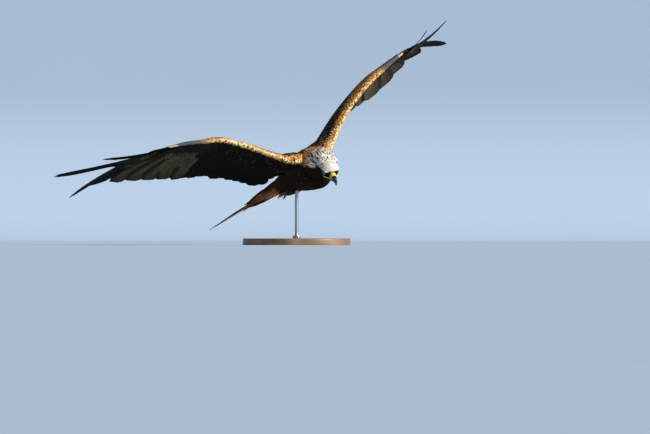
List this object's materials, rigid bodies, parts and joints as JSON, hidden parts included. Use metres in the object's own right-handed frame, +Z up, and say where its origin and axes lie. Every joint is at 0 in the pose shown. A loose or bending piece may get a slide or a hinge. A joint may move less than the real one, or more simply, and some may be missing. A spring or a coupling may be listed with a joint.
{
  "type": "red kite bird",
  "caption": "Life-size still model of a red kite in banked gliding flight, wings raised, head turned down, forked tail, held on a plain round display stand by a slim rod",
  "frame": {"origin": "centre of the underside of the stand's round base, on the surface that the model stands on", "axes": "+Z up. The pictured side is seen looking along +Y with +X to the right: the bird heads towards -Y and +X, its right wing reaches to -X and its left wing rises to +X."},
  "size_m": [1.0927, 0.8281, 0.6318],
  "materials": {
    "base_wood": "satin",
    "rod_steel": "satin",
    "body_plumage": "matt plumage",
    "neck_plumage": "matt plumage",
    "head_plumage": "matt plumage",
    "wing_plumage": "matt plumage",
    "tail_plumage": "matt plumage",
    "horn": "satin",
    "cere_skin": "satin",
    "foot_skin": "satin",
    "eye": "gloss"
  },
  "bodies": {
    "root": {"stand_base": "base_wood", "stand_rod": "rod_steel", "torso": "body_plumage", "neck": "neck_plumage", "head": "head_plumage", "cere": "cere_skin", "bill_upper": "horn", "bill_lower": "horn", "eye_right": "eye", "eye_left": "eye", "wing_right_arm": "wing_plumage", "wing_right_hand": "wing_plumage", "wing_left_arm": "wing_plumage", "wing_left_hand": "wing_plumage", "tail": "tail_plumage", "thigh_right": "body_plumage", "thigh_left": "body_plumage", "foot_right": "foot_skin", "foot_left": "foot_skin", "claw_right_1": "horn", "claw_right_2": "horn", "claw_right_3": "horn", "claw_right_4": "horn", "claw_left_1": "horn", "claw_left_2": "horn", "claw_left_3": "horn", "claw_left_4": "horn"}
  },
  "joints": []
}
